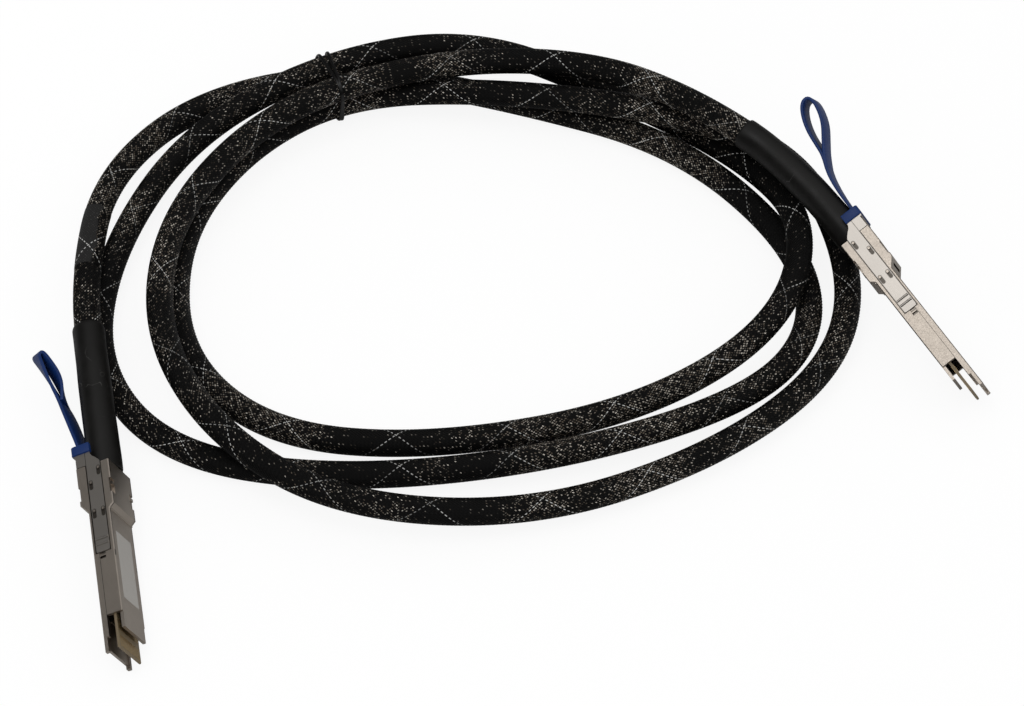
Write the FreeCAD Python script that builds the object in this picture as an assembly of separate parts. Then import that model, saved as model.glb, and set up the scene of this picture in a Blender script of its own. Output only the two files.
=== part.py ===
import FreeCAD, Part
import math
import os

# Direct attach copper cable: two die-cast plugs on one sleeved cable that lies in a loose coil.
# A plug is built in a frame of its own: +X towards the mating nose, +Z towards the label side,
# with the origin on the stop face, midway across the flat strap side of the nose.
# Each plug then goes to its place in the coil, lying on one of its narrow sides.

# ---- plug shells -------------------------------------------------------------------------
PLUG_WIDTH = 18.35
NOSE_HEIGHT = 8.5
NOSE_LENGTH = 58.3          # stop face to the tips of the lip rails
WALL_END = 43.8             # stop face to the front of the side walls
ROOF_END = 50.2             # stop face to the front of the label side
REAR_LENGTH = 19.6          # stop face to the rear wall's outer face
FLOOR_TAIL = 4.0            # the strap side's floor runs on past the rear wall
STRAP_HUMP = 3.0            # the rear block stands proud of the nose on both wide sides
LABEL_HUMP = 1.8
RAMP_LENGTH = 3.8
LABEL_RAMP_LENGTH = 1.6
PARTING_Z = 2.4             # seam between the two shells
NOSE_WALL = 1.4
REAR_WALL = 3.2             # thick side walls of the rear block hold springs and screws
FLOOR = 1.2
BACK_WALL = 2.0
ROOF_TRIM = 0.9             # the label side narrows past the side walls
RAIL_WIDTH = 1.7
RAIL_STEP_X = 52.5          # lip rails get lower here
RAIL_LOW = 1.5
LIP_SETBACK = 1.4           # lip floor ends behind the rail tips
NECK_Z = 4.8                # height of the cable's axis
EDGE = 0.35                 # broken edges along the shells
RECESS_X = (-11.5, -5.6)    # groove across the strap side and a notch at each label-side edge
RECESS_DEPTH = 0.7
NOTCH_WIDTH = 3.0
CATCH_X = -10.2             # a cast catch stands in each notch
CATCH_RISE = 0.1

# ---- latch slider, its channel and the pull tab --------------------------------------------
SHEET = 0.5
CHANNEL_DEPTH = 0.7
SLIDE_GAP = 0.1             # sheet to channel floor, and sheet to the plug's side face
EDGE_GAP = 0.2              # sheet's edges to the channel's edges
TRAVEL = 2.5
SLIDER_FRONT = 17.8
BAND = (1.0, 7.1)           # lower and upper edge of the channel
TIP_GAP = 0.4
POCKET_BAND = (2.6, 4.9)
POCKET_CELLS = (1.0, 1.5, 2.6)   # front of the first cell, then the second cell's two ends
BEADS = (12.3, 14.6)
BEAD_RADIUS = 0.5
POST_RADIUS = 0.55
POST_GAP = 0.15
POSTS = ((-17.6, 5.9), (-12.1, 2.3), (0.1, 2.3), (0.1, 5.9))
PLATE_LOW = -2.6            # the plate's strap-side edge behind the rear wall
LEG_TOP = 3.2
PLATE_REAR = 24.5
LEG_REAR = 28.5
GRIP_WALL = 0.7             # moulding around the slider's legs
GRIP_FRONT = 25.3
GRIP_BASE = 2.1
GRIP_SIDE = 1.9
GRIP_BEVEL = 1.2
STRAP_WIDTH = 8.0
STRAP_THICK = 1.2
STRAP_ROOT_Z = -2.4
STRAP_STEM = 22.0
STRAP_OVERLAP = 5.0         # stem carries on into the loop's crotch

# ---- return springs ------------------------------------------------------------------------
SPRING_RADIUS = 0.7
SPRING_WIRE = 0.25
SPRING_X = (-9.2, -2.4)
SPRING_Z = 5.0
SPRING_TURNS = 9
SEAT_GAP = 0.15

# ---- card, leads and strain relief ---------------------------------------------------------
CARD_THICK = 1.0
CARD_Z = 5.2
CARD_END = 57.6
CARD_REAR = 8.0
CARD_SHOULDER = 23.0
CARD_WIDTH = 16.5
CARD_TAIL_WIDTH = 15.0
CARD_GAP = 0.1
PAD_PITCH = 0.8
PADS = 19
PAD_WIDTH = 0.5
PAD_THICK = 0.06
PAD_ROWS = ((45.4, 50.0), (52.2, 56.8))
LEAD_DIAMETER = 1.0
LEAD_GRID = 1.3
LEAD_PITCH = 1.9
LEADS_PER_SIDE = 8
LEAD_BENDS = (-13.0, 5.0)
LEAD_END = 11.5
POTTING_X = (-15.0, -6.0)
FERRULE_RADIUS = 3.9
FERRULE_BORE = 3.45
FERRULE_FLANGE = 4.25
SCREW_X = -14.0
SCREW_RADIUS = 0.7
SCREW_HEAD = 1.3
SCREW_LENGTH = 9.0
LABEL_X = (9.2, 37.2)
LABEL_WIDTH = 12.0
LABEL_THICK = 0.15
FIT = 0.05

# ---- cable ---------------------------------------------------------------------------------
CABLE_DIAMETER = 10.5
CABLE_END = 19.9            # stop face to the end of the sleeved cable, inside the boot
EXIT_RUN = 40.0             # the cable leaves each plug straight for this long
BOOT_DIAMETER = 12.6
BOOT_LENGTH = 66.0
BOOT_GAP = 0.3
WRAP_START = 101.5
WRAP_LENGTH = 27.0
WRAP_THICK = 0.15
WRAP_GAP = 0.05
TIE_WIDTH = 1.5
TIE_THICK = 0.7
TIE_GAP = 0.3

# Plug places: x, y, z of the stop face's origin, then turn about Z, nose-down pitch and roll.
PLUG_A = (-150.6, -62.6, 12.45, -80.0, 4.0, -68.0)
PLUG_B = (149.5, 47.1, 21.7, -56.6, 9.0, 117.1)
# How each soft strap lies: lean of its stem and of its loop, the loop's radius and length.
STRAP_A = (13.6, 18.6, 2.9, 33.5)
STRAP_B = (9.7, 18.3, 4.3, 31.2)

# The cable's route from plug A to plug B between the straight exits, turn by turn.
ROUTE = [
    # first turn: out of plug A, round the far side and back along the near side
    (-165, 45, 18), (-162, 106, 10), (-126, 151, 6), (-62, 165, 7), (0, 151, 6), (68, 126, 7),
    (113, 76, 5.5), (119, 29, 9), (91, -7, 12), (17, -31, 8), (-65, -39, 5.5), (-129, -27, 5.5),
    # second turn
    (-160, 14, 5.5), (-158, 71, 5.5), (-129, 128, 11), (-74, 160, 19), (-14, 176, 15),
    (43, 153, 7), (95, 120, 5.5), (118, 74, 19), (103, 23, 18), (48, -10, 9), (-29, -24, 5.5),
    (-91, -18, 5.5),
    # third turn
    (-128, 19, 5.5), (-132, 77, 5.5), (-108, 124, 5.5), (-67, 152, 7), (-7, 146, 17),
    (65, 134, 18), (116, 111, 17), (136, 60, 5.5), (124, 11, 7), (77, -29, 7), (9, -56, 7),
    (-64, -56, 14),
    # last part turn, over the others and into plug B
    (-112, -25, 19), (-138, 29, 16), (-131, 87, 18), (-90, 138, 19), (-26, 157, 23),
    (33, 153, 26), (74, 128, 31)]

# Each turn of the tie: a point on its plane, the plane's heading in degrees, and the four
# strands it goes round, as (distance along the heading, height).
TIE_TURNS = (
    ((-72.5, 149.0), 120.5, ((14.1, 6.8), (8.8, 17.6), (-6.4, 20.3), (-3.2, 6.9))),
    ((-70.5, 149.0), 106.5, ((13.3, 6.8), (9.6, 17.6), (-5.6, 20.3), (-2.7, 6.9))))


def vec(x, y, z):
    return FreeCAD.Vector(x, y, z)


def box(x0, x1, y0, y1, z0, z1):
    return Part.makeBox(x1 - x0, y1 - y0, z1 - z0, vec(x0, y0, z0))


def across(x0, x1, width, z0, z1):
    """A block centred on the plug's middle plane."""
    return box(x0, x1, -width / 2, width / 2, z0, z1)


def side_profile(points, width):
    """A closed outline in the XZ plane, extruded evenly across the width."""
    corners = [vec(x, -width / 2, z) for x, z in points]
    face = Part.Face(Part.makePolygon(corners + corners[:1]))
    return face.extrude(vec(0, width, 0))


def both_sides(shape):
    return [shape, shape.mirror(vec(0, 0, 0), vec(0, 1, 0))]


def joined(shapes):
    return shapes[0].fuse(shapes[1:]).removeSplitter()


HALF = PLUG_WIDTH / 2
BLOCK_TOP = NOSE_HEIGHT + LABEL_HUMP
SHEET_OUT = HALF - SLIDE_GAP
SHEET_IN = SHEET_OUT - SHEET


def outer_block():
    """Both shells as one closed block, before it is hollowed and parted."""
    outline = [
        (-REAR_LENGTH, -STRAP_HUMP), (-RAMP_LENGTH, -STRAP_HUMP), (0, 0),
        (NOSE_LENGTH, 0), (NOSE_LENGTH, NOSE_HEIGHT), (LABEL_RAMP_LENGTH / 2, NOSE_HEIGHT),
        (-LABEL_RAMP_LENGTH / 2, BLOCK_TOP), (-REAR_LENGTH, BLOCK_TOP)]
    block = side_profile(outline, PLUG_WIDTH)
    long_edges = [e for e in block.Edges
                  if abs(e.tangentAt(e.FirstParameter).x) > 0.3
                  and abs(abs(e.CenterOfMass.y) - HALF) < 0.01]
    return block.makeChamfer(EDGE, long_edges)


def hollow():
    """Inside of the shells: narrow in the rear block, wide in the nose, open at the front."""
    rear = across(-REAR_LENGTH + BACK_WALL, -NOSE_WALL, PLUG_WIDTH - 2 * REAR_WALL,
                  FLOOR - STRAP_HUMP, BLOCK_TOP - FLOOR)
    nose = across(-NOSE_WALL, NOSE_LENGTH + 1, PLUG_WIDTH - 2 * NOSE_WALL,
                  FLOOR, NOSE_HEIGHT - FLOOR)
    bore = Part.makeCylinder(FERRULE_RADIUS + FIT, BACK_WALL + 2,
                             vec(-REAR_LENGTH - 1, 0, NECK_Z), vec(1, 0, 0))
    return rear.fuse([nose, bore])


def slider_channel():
    """Side channel for the slider, the cage latch's pocket and the spring's pocket."""
    floor_y = HALF - CHANNEL_DEPTH
    out = HALF + 1
    tip = SLIDER_FRONT + TIP_GAP
    channel = box(-REAR_LENGTH - 1, tip, floor_y, out, *BAND)
    first, second, end = POCKET_CELLS
    cells = [box(tip - 0.5, tip + first, floor_y - 0.2, out, *POCKET_BAND),
             box(tip + second, tip + end, floor_y - 0.2, out, *POCKET_BAND)]
    reach = SPRING_RADIUS + SEAT_GAP
    spring_pocket = box(SPRING_X[0] - SEAT_GAP, SPRING_X[1] + SHEET + 2 * SEAT_GAP,
                        floor_y - 2 * reach, out, SPRING_Z - reach, SPRING_Z + reach)
    return channel.fuse(cells + [spring_pocket])


def guide_posts(low, high):
    """Posts that run in the slider's slots, those whose height lies on one shell."""
    base = HALF - CHANNEL_DEPTH
    return [Part.makeCylinder(POST_RADIUS, CHANNEL_DEPTH - FIT, vec(x, base, z), vec(0, 1, 0))
            for x, z in POSTS if low < z < high]


def screws(grow=0.0):
    """Two countersunk screws, driven from the strap side into the label side's bosses."""
    y = HALF - CHANNEL_DEPTH - SCREW_HEAD
    made = []
    for side in (-1, 1):
        foot = vec(SCREW_X, side * y, -STRAP_HUMP)
        shank = Part.makeCylinder(SCREW_RADIUS + grow, SCREW_LENGTH + grow, foot)
        head = Part.makeCone(SCREW_HEAD + grow, SCREW_RADIUS + grow, SCREW_HEAD - SCREW_RADIUS, foot)
        made.append(shank.fuse(head).removeSplitter())
    return made


def driven(screw):
    """A screw with its cross recess."""
    top = screw.BoundBox
    x, y = (top.XMin + top.XMax) / 2, (top.YMin + top.YMax) / 2
    arm, blade, depth = 0.75, 0.13, 0.35
    bars = [box(x - arm, x + arm, y - blade, y + blade, top.ZMin - 1, top.ZMin + depth),
            box(x - blade, x + blade, y - arm, y + arm, top.ZMin - 1, top.ZMin + depth)]
    return screw.cut(bars)


def bottom_shell():
    """Strap side: floor, low walls, the long lip with its two rails, and the floor's tail."""
    body = outer_block().common(box(-40, 80, -20, 20, -10, PARTING_Z))
    tail = across(-REAR_LENGTH - FLOOR_TAIL, -REAR_LENGTH, PLUG_WIDTH - 2 * CHANNEL_DEPTH,
                  -STRAP_HUMP, -STRAP_HUMP + FLOOR)
    body = body.fuse(tail).removeSplitter()
    body = body.cut(hollow())
    rail_inner = PLUG_WIDTH - 2 * RAIL_WIDTH
    body = body.cut([
        across(RAIL_STEP_X, NOSE_LENGTH + 1, PLUG_WIDTH + 2, RAIL_LOW, PARTING_Z + 1),
        across(NOSE_LENGTH - LIP_SETBACK, NOSE_LENGTH + 1, rail_inner, -1, PARTING_Z + 1),
        across(WALL_END, NOSE_LENGTH + 1, rail_inner, FLOOR - 0.2, PARTING_Z + 1)])
    recess = across(*RECESS_X, PLUG_WIDTH + 2, -STRAP_HUMP - 1, -STRAP_HUMP + RECESS_DEPTH)
    body = body.cut(both_sides(slider_channel()) + screws(FIT) + [recess])
    posts = [p for post in guide_posts(-9, PARTING_Z) for p in both_sides(post)]
    return joined([body] + posts) if posts else body.removeSplitter()


def top_shell():
    """Label side: roof, tall side walls with the card's slots, and the trimmed front roof."""
    body = outer_block().common(box(-40, 80, -20, 20, PARTING_Z, 20))
    body = body.cut(hollow())
    slot_half = CARD_THICK / 2 + CARD_GAP
    side_trim = box(WALL_END, 80, HALF - ROOF_TRIM, HALF + 1, 0, 20)
    body = body.cut([
        across(ROOF_END, 80, 40, 0, 20),
        across(WALL_END, 80, 40, 0, NOSE_HEIGHT - FLOOR),
        across(CARD_SHOULDER - CARD_GAP, 80, CARD_WIDTH + 2 * CARD_GAP,
               CARD_Z - slot_half, CARD_Z + slot_half),
        across(LABEL_X[0] - FIT, LABEL_X[1] + FIT, LABEL_WIDTH + 2 * FIT,
               NOSE_HEIGHT - LABEL_THICK - FIT, 20)] + both_sides(side_trim))
    body = body.cut(both_sides(slider_channel()) + screws(FIT))
    ridge = Part.makeCylinder(0.35, PLUG_WIDTH - 2 * EDGE,
                              vec(LABEL_RAMP_LENGTH / 2 + 0.1, -HALF + EDGE, NOSE_HEIGHT), vec(0, 1, 0))
    notch = box(*RECESS_X, HALF - NOTCH_WIDTH, HALF + 1, BLOCK_TOP - RECESS_DEPTH, BLOCK_TOP + 1)
    catch = box(CATCH_X, CATCH_X + 1.2, HALF - NOTCH_WIDTH, HALF - 0.6,
                BLOCK_TOP - RECESS_DEPTH, BLOCK_TOP + CATCH_RISE)
    body = body.fuse(ridge).cut(both_sides(notch))
    posts = [p for post in guide_posts(PARTING_Z, 20) for p in both_sides(post)]
    return joined([body] + both_sides(catch) + posts)


def latch_slider():
    """One stamped U: two side plates with slots, beads and spring tabs, and the rear bridge."""
    low, high = BAND[0] + EDGE_GAP, BAND[1] - EDGE_GAP
    shoulder = REAR_LENGTH + BOOT_GAP
    corner = 0.5
    outline = [
        (SLIDER_FRONT - corner, low), (SLIDER_FRONT, low + corner),
        (SLIDER_FRONT, high - corner), (SLIDER_FRONT - corner, high), (-shoulder, high),
        (-shoulder - 1.1, high - 0.7), (-shoulder - 2.4, high - 1.9),
        (-shoulder - 3.4, LEG_TOP + 0.7), (-PLATE_REAR, LEG_TOP), (-LEG_REAR, LEG_TOP),
        (-LEG_REAR, -STRAP_HUMP - 0.4), (-PLATE_REAR, -STRAP_HUMP - 0.4),
        (-PLATE_REAR, PLATE_LOW), (-shoulder, PLATE_LOW), (-shoulder, low)]
    corners = [vec(x, SHEET_IN, z) for x, z in outline]
    plate = Part.Face(Part.makePolygon(corners + corners[:1])).extrude(vec(0, SHEET, 0))
    slot_r = POST_RADIUS + POST_GAP
    for x, z in POSTS:
        ends = [Part.makeCylinder(slot_r, 4, vec(x + dx, SHEET_IN - 1, z), vec(0, 1, 0))
                for dx in (0, TRAVEL)]
        slot = box(x, x + TRAVEL, SHEET_IN - 1, SHEET_OUT + 1, z - slot_r, z + slot_r)
        plate = plate.cut(slot.fuse(ends))
    beads = [Part.makeCylinder(BEAD_RADIUS, high - low - 0.5, vec(x, SHEET_OUT - 0.05, low + 0.25))
             for x in BEADS]
    tab_x = SPRING_X[1] + SEAT_GAP
    tab_z = SPRING_RADIUS - 0.1
    tab_in = HALF - CHANNEL_DEPTH - 2 * SPRING_RADIUS
    tab = box(tab_x, tab_x + SHEET, tab_in, SHEET_OUT, SPRING_Z - tab_z, SPRING_Z + tab_z)
    plate = joined([plate, tab] + beads)
    bridge = across(-LEG_REAR, -PLATE_REAR, 2 * SHEET_OUT, -STRAP_HUMP - 0.4,
                    -STRAP_HUMP - 0.4 + SHEET)
    return joined(both_sides(plate) + [bridge])


def strap_profile(loop_radius, loop_length, inset):
    """Teardrop outline of the loop in the XZ plane, drawn in by the inset."""
    radius = loop_radius - inset
    centre = loop_length - loop_radius
    lean = math.asin(loop_radius / centre)
    touch_x = centre - radius * math.sin(lean)
    touch_z = radius * math.cos(lean)
    tip = vec(centre - radius / math.sin(lean), 0, 0)
    up, down = vec(touch_x, 0, touch_z), vec(touch_x, 0, -touch_z)
    far = vec(centre + radius, 0, 0)
    edges = [Part.LineSegment(tip, up).toShape(), Part.Arc(up, far, down).toShape(),
             Part.LineSegment(down, tip).toShape()]
    return Part.Face(Part.Wire(edges))


def strap(stem_lean, loop_lean, loop_radius, loop_length):
    """The flexible pull strap: stem, bent end and a teardrop loop open for a finger."""
    wide = vec(0, STRAP_WIDTH, 0)
    outline = strap_profile(loop_radius, loop_length, 0)
    eye = strap_profile(loop_radius, loop_length, STRAP_THICK)
    loop = outline.extrude(wide).cut(eye.extrude(wide))
    loop = loop.fuse(box(0, STRAP_OVERLAP, 0, STRAP_WIDTH, -STRAP_THICK / 2, STRAP_THICK / 2))
    loop.rotate(vec(0, 0, 0), vec(0, 1, 0), stem_lean - loop_lean)
    loop.translate(vec(STRAP_STEM, 0, 0))
    knuckle = Part.makeCylinder(STRAP_THICK / 2, STRAP_WIDTH, vec(STRAP_STEM, 0, 0), vec(0, 1, 0))
    stem = box(-GRIP_WALL / 2, STRAP_STEM, 0, STRAP_WIDTH, -STRAP_THICK / 2, STRAP_THICK / 2)
    made = stem.fuse([knuckle, loop])
    made.translate(vec(0, -STRAP_WIDTH / 2, 0))
    made.rotate(vec(0, 0, 0), vec(0, 1, 0), 180 - stem_lean)
    made.translate(vec(-LEG_REAR - GRIP_WALL, 0, STRAP_ROOT_Z))
    return made


def pull_tab(slider, strap_shape):
    """Soft moulding: a grip over the slider's rear legs, with the strap in one piece."""
    rear = -LEG_REAR - GRIP_WALL
    low = -STRAP_HUMP - 0.4 - GRIP_WALL
    width = PLUG_WIDTH + 2 * (GRIP_WALL - SLIDE_GAP)
    grip = across(rear, -GRIP_FRONT, width, low, LEG_TOP + 0.3)
    throat = across(rear - 1, 0, width - 2 * GRIP_SIDE, low + GRIP_BASE, 20)
    grip = grip.cut(throat)
    corners = [e for e in grip.Edges if abs(e.tangentAt(e.FirstParameter).x) > 0.9
               and abs(e.CenterOfMass.y) > width / 2 - 0.1]
    lower = [e for e in corners if e.CenterOfMass.z < 0]
    grip = grip.makeChamfer(GRIP_BEVEL, lower)
    return grip.fuse(strap(*strap_shape)).cut(slider).removeSplitter()


def return_springs():
    """A small coil spring each side, between the slider's tab and its pocket's rear wall."""
    length = SPRING_X[1] - SPRING_X[0]
    y = HALF - CHANNEL_DEPTH - SPRING_RADIUS
    mean = SPRING_RADIUS - SPRING_WIRE / 2
    run = length - SPRING_WIRE
    helix = Part.makeHelix(run / SPRING_TURNS, run, mean)
    start = Part.Wire(Part.makeCircle(SPRING_WIRE / 2, vec(mean, 0, 0), vec(0, 1, 0)))
    coil = Part.Wire(helix.Edges).makePipeShell([start], True, True)
    coil.rotate(vec(0, 0, 0), vec(0, 1, 0), 90)
    coil.translate(vec(SPRING_X[0] + SPRING_WIRE / 2, y, SPRING_Z))
    return Part.makeCompound(both_sides(coil))


def paddle_card():
    """Circuit card: wide where the contacts are, narrow behind the shoulder, bevelled nose."""
    low, high = CARD_Z - CARD_THICK / 2, CARD_Z + CARD_THICK / 2
    wide = across(CARD_SHOULDER, CARD_END, CARD_WIDTH, low, high)
    tail = across(CARD_REAR, CARD_SHOULDER, CARD_TAIL_WIDTH, low, high)
    card = wide.fuse(tail).removeSplitter()
    nose = [e for e in card.Edges if abs(e.CenterOfMass.x - CARD_END) < 0.01 and e.Length > 5]
    return card.makeChamfer(0.3, nose)


def card_contacts():
    """Gold pads in two rows on both faces of the card."""
    pads = []
    for row in PAD_ROWS:
        for i in range(PADS):
            y = (i - (PADS - 1) / 2) * PAD_PITCH
            for z in (CARD_Z + CARD_THICK / 2, CARD_Z - CARD_THICK / 2 - PAD_THICK):
                pads.append(box(row[0], row[1], y - PAD_WIDTH / 2, y + PAD_WIDTH / 2, z, z + PAD_THICK))
    return Part.makeCompound(pads)


def lead(start, knee, turn, end):
    """One insulated lead: straight lengths with eased bends."""
    edges, _ = rounded_edges([start, knee, turn, end])
    return pipe(edges, LEAD_DIAMETER / 2)


def twinax_leads():
    """Leads fan out from a square bundle in the ferrule to a row on each face of the card."""
    made = []
    rise = CARD_THICK / 2 + LEAD_DIAMETER / 2 + FIT
    for side in (-1, 1):
        for i in range(LEADS_PER_SIDE):
            column, layer = divmod(i, 2)
            y0 = (column - 1.5) * LEAD_GRID
            z0 = NECK_Z + side * (0.5 + layer) * LEAD_GRID
            y1 = (i - (LEADS_PER_SIDE - 1) / 2) * LEAD_PITCH
            z1 = CARD_Z + side * rise
            made.append(lead(vec(-CABLE_END, y0, z0), vec(LEAD_BENDS[0], y0, z0),
                             vec(LEAD_BENDS[1], y1, z1), vec(LEAD_END, y1, z1)))
    return made


def potting(leads):
    """Hot-melt block that grips the leads in the rear of the shells."""
    gap = 0.25
    block = across(POTTING_X[0], POTTING_X[1], PLUG_WIDTH - 2 * REAR_WALL - 2 * gap,
                   FLOOR - STRAP_HUMP + gap, BLOCK_TOP - FLOOR - gap)
    return block.cut(leads)


def ferrule():
    """Crimp ferrule through the rear wall, held by its flange."""
    inner_face = -REAR_LENGTH + BACK_WALL
    axis = vec(1, 0, 0)
    neck = Part.makeCylinder(FERRULE_RADIUS, CABLE_END + inner_face + 1.5,
                             vec(-CABLE_END, 0, NECK_Z), axis)
    flange = Part.makeCylinder(FERRULE_FLANGE, 0.9, vec(inner_face + FIT, 0, NECK_Z), axis)
    bore = Part.makeCylinder(FERRULE_BORE, CABLE_END + 5, vec(-CABLE_END - 1, 0, NECK_Z), axis)
    return neck.fuse(flange).cut(bore).removeSplitter()


def rating_label():
    """Blank label in a shallow recess of the label side."""
    return across(LABEL_X[0], LABEL_X[1], LABEL_WIDTH, NOSE_HEIGHT - LABEL_THICK,
                  NOSE_HEIGHT)


def plug_nodes(strap_shape):
    """Every piece of one plug, in the plug's own frame."""
    slider = latch_slider()
    leads = twinax_leads()
    return {
        "bottom_shell": bottom_shell(), "top_shell": top_shell(), "latch_slider": slider,
        "pull_tab": pull_tab(slider, strap_shape), "return_springs": return_springs(),
        "paddle_card": paddle_card(), "card_contacts": card_contacts(),
        "twinax_leads": Part.makeCompound(leads), "potting_block": potting(leads),
        "crimp_ferrule": ferrule(), "rating_label": rating_label(),
        "shell_screws": Part.makeCompound([driven(s) for s in screws()])}


def place_of(plug):
    x, y, z, turn, pitch, roll = plug
    spin = (FreeCAD.Rotation(vec(0, 0, 1), turn) * FreeCAD.Rotation(vec(0, 1, 0), pitch)
            * FreeCAD.Rotation(vec(1, 0, 0), roll))
    return FreeCAD.Placement(vec(x, y, z), spin)


def on_axis(plug, distance):
    """A point on the cable's axis, this far behind the plug's stop face."""
    return place_of(plug).multVec(vec(-distance, 0, NECK_Z))


def cable_route():
    """All the route's points, seat to seat."""
    ends = (CABLE_END, CABLE_END + EXIT_RUN)
    start = [on_axis(PLUG_A, d) for d in ends]
    finish = [on_axis(PLUG_B, d) for d in reversed(ends)]
    return start + [vec(*p) for p in ROUTE] + finish


def rounded_edges(points):
    """Straight runs joined by tangent arcs as large as the runs allow, and the arcs' radii."""
    edges, radii = [], []
    at = points[0]
    for before, corner, after in zip(points, points[1:], points[2:]):
        back, ahead = corner - before, after - corner
        half = back.getAngle(ahead) / 2
        reach = 0.45 * min(back.Length, ahead.Length)
        back.normalize()
        ahead.normalize()
        start, end = corner - back * reach, corner + ahead * reach
        radius = reach / math.tan(half)
        inward = (ahead - back).normalize()
        middle = corner + inward * (radius / math.cos(half) - radius)
        edges.append(Part.LineSegment(at, start).toShape())
        edges.append(Part.Arc(start, middle, end).toShape())
        radii.append(radius)
        at = end
    edges.append(Part.LineSegment(at, points[-1]).toShape())
    return edges, radii


def stretch(edges, start, length):
    """The part of the path that begins this far along it."""
    kept, at = [], 0.0
    for edge in edges:
        low, high = max(start - at, 0.0), min(start + length - at, edge.Length)
        if high - low > 0.01:
            first = edge.getParameterByLength(low)
            last = edge.getParameterByLength(high)
            kept.append(edge.Curve.toShape(first, last))
        at += edge.Length
    return kept


def pipe(edges, radius):
    """A round bar along a path of tangent edges."""
    path = Part.Wire(edges)
    first = edges[0]
    heading = first.tangentAt(first.FirstParameter)
    section = Part.Wire(Part.makeCircle(radius, first.valueAt(first.FirstParameter), heading))
    return path.makePipeShell([section], True, False)


def cord_nodes():
    """The cable, a boot over each end, the wrap under its sleeve and the tie."""
    edges, radii = rounded_edges(cable_route())
    radius = CABLE_DIAMETER / 2
    length = sum(e.Length for e in edges)
    cable = pipe(edges, radius)
    share = cable.Volume / (math.pi * radius ** 2 * length)
    print("cable length %.0f, smallest radius %.1f, volume over section x length %.4f"
          % (length, min(radii), share))
    print("radii", [round(r) for r in radii])
    boots = []
    for start in (0.0, length - BOOT_LENGTH):
        part = stretch(edges, start, BOOT_LENGTH)
        boots.append(pipe(part, BOOT_DIAMETER / 2).cut(pipe(part, radius)))
    part = stretch(edges, WRAP_START, WRAP_LENGTH)
    wrap = pipe(part, radius + WRAP_GAP + WRAP_THICK).cut(pipe(part, radius + WRAP_GAP))
    return {"cable": cable, "boot_a": boots[0], "boot_b": boots[1], "id_wrap": wrap,
            "twist_tie": twist_tie()}


def hull_face(centres, radius):
    """Flat face inside a belt round equal circles, given in order round the bundle."""
    edges = []
    count = len(centres)
    for i, here in enumerate(centres):
        before, after = centres[i - 1], centres[(i + 1) % count]
        come, go = (here - before).normalize(), (after - here).normalize()
        normal_a, normal_b = come.cross(vec(0, 0, 1)), go.cross(vec(0, 0, 1))
        middle = (normal_a + normal_b).normalize()
        start, end = here + normal_a * radius, here + normal_b * radius
        edges.append(Part.Arc(start, here + middle * radius, end).toShape())
        edges.append(Part.LineSegment(end, after + normal_b * radius).toShape())
    return Part.Face(Part.Wire(edges))


def twist_tie():
    """Coated wire, twice round the bundle; the two turns run together on the near side."""
    turns = []
    inner = CABLE_DIAMETER / 2 + TIE_GAP
    for (x, y), heading, strands in TIE_TURNS:
        centres = [vec(u, z, 0) for u, z in strands]
        ring = hull_face(centres, inner + TIE_THICK).cut(hull_face(centres, inner))
        ring = ring.extrude(vec(0, 0, TIE_WIDTH))
        ring.translate(vec(0, 0, -TIE_WIDTH / 2))
        ring.rotate(vec(0, 0, 0), vec(1, 0, 0), 90)
        ring.rotate(vec(0, 0, 0), vec(0, 0, 1), heading)
        ring.translate(vec(x, y, 0))
        turns.append(ring)
    return joined(turns)


def main():
    os.makedirs("parts", exist_ok=True)
    nodes = cord_nodes()
    for letter, plug, strap_shape in (("a", PLUG_A, STRAP_A), ("b", PLUG_B, STRAP_B)):
        place = place_of(plug)
        for name, shape in plug_nodes(strap_shape).items():
            moved = shape.copy()
            moved.Placement = place.multiply(moved.Placement)
            nodes[name + "_" + letter] = moved
    for name, shape in nodes.items():
        shape.exportStep("parts/" + name + ".step")


main()
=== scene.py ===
# %% [markdown]
# # A direct attach copper cable
# A sleeved copper cable lies in a loose coil of a little over three turns, held by a
# twist tie, with a die-cast plug on each end. The frame brings in the plugs' metal
# pieces as they were built. This script adds the camera, the cord with its woven
# sleeve, the shrink boots, the tie, the pull straps and every finish.

# %% Load the frame
import math
import bpy
import numpy as np
from mathutils import Matrix, Vector


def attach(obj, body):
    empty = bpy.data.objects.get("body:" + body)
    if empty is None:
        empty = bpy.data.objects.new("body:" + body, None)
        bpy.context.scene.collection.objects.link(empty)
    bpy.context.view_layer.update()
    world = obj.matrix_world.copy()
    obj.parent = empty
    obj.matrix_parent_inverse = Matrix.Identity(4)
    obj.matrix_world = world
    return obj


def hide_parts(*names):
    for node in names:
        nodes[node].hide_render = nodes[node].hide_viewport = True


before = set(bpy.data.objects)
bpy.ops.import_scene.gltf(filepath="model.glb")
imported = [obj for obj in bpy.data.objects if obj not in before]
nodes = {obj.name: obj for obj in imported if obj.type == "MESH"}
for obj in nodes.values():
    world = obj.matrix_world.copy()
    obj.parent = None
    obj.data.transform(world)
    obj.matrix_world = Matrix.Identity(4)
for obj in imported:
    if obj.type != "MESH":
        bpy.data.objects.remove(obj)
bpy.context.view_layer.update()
MM = 0.001

# %% [markdown]
# ## Camera
# The coil is seen from well above its front edge, through a long lens more than a
# metre away. A long lens keeps both plugs in their true proportions, where a short one
# from close by would swell the near plug.

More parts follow.
